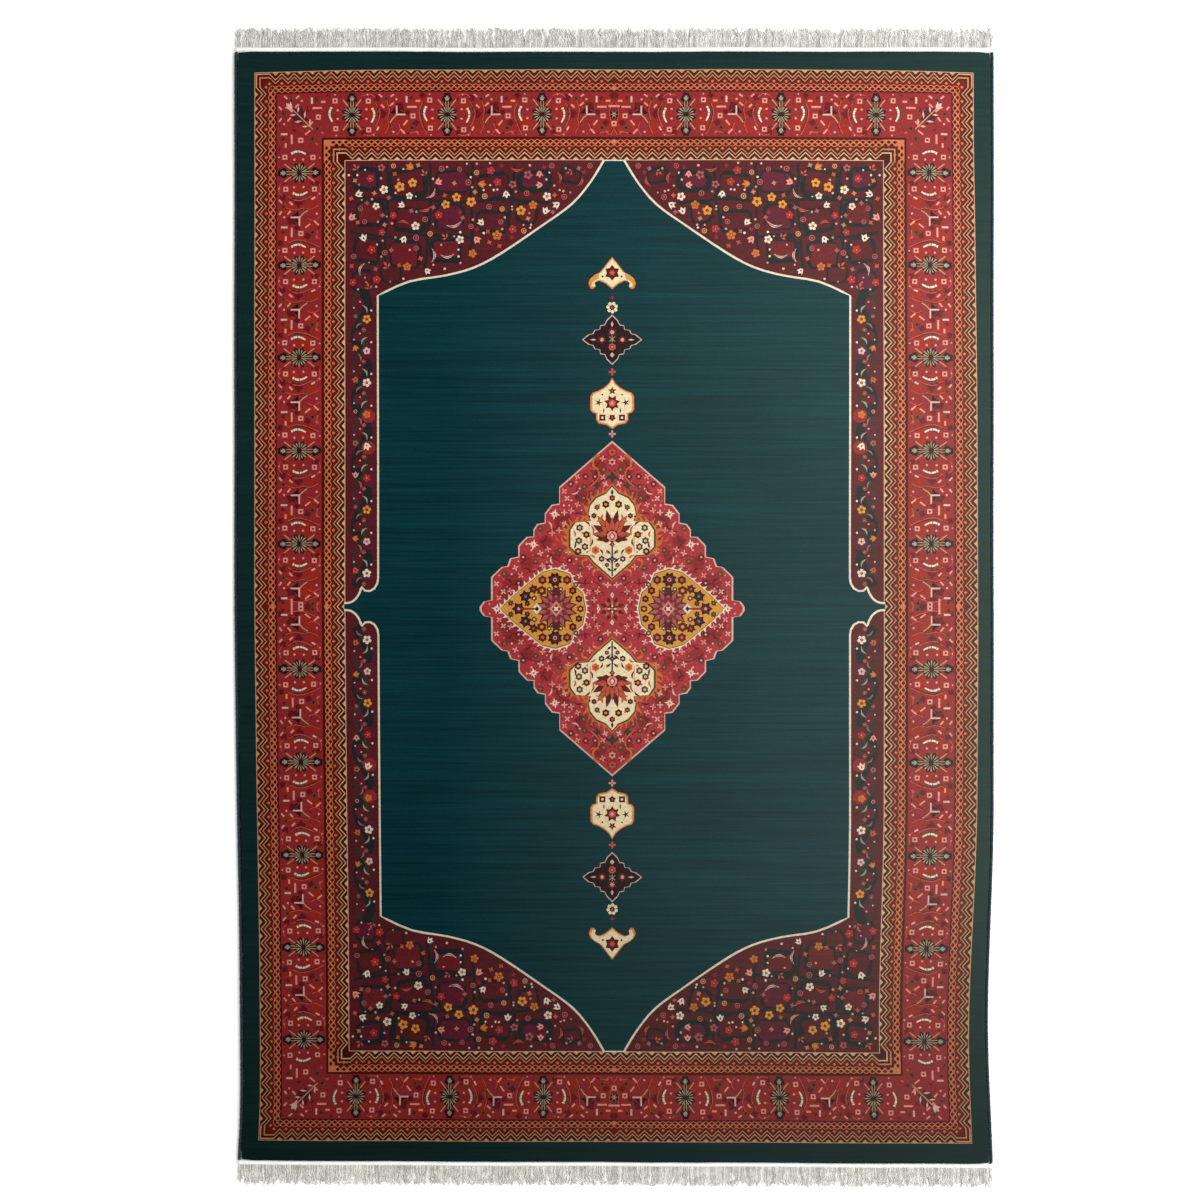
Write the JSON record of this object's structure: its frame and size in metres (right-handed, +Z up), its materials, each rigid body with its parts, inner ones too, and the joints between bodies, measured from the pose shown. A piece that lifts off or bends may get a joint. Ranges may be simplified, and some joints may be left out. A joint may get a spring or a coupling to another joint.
{
  "type": "gabbeh rug",
  "caption": "Flat rectangular pile rug with a lozenge medallion, corner pieces and wide border, overcast sides and a short white fringe at each end.",
  "frame": {"origin": "middle of the rug's underside, halfway between its sides and between its fringe tips", "axes": "+Y along the rug towards its far end, +X across it to the right, +Z up out of the pile"},
  "size_m": [1.9999, 3.0436, 0.011],
  "materials": {
    "pile": "dense matt cut pile",
    "overcast_yarn": "matt spun yarn, sewn over and over",
    "band_cotton": "flat woven cotton",
    "fringe_yarn": "loose twisted yarn"
  },
  "bodies": {
    "root": {"pile_cloth": "pile", "overcast_edge_left": "overcast_yarn", "overcast_edge_right": "overcast_yarn", "end_band_near": "band_cotton", "end_band_far": "band_cotton", "fringe_near": "fringe_yarn", "fringe_far": "fringe_yarn"}
  },
  "joints": []
}
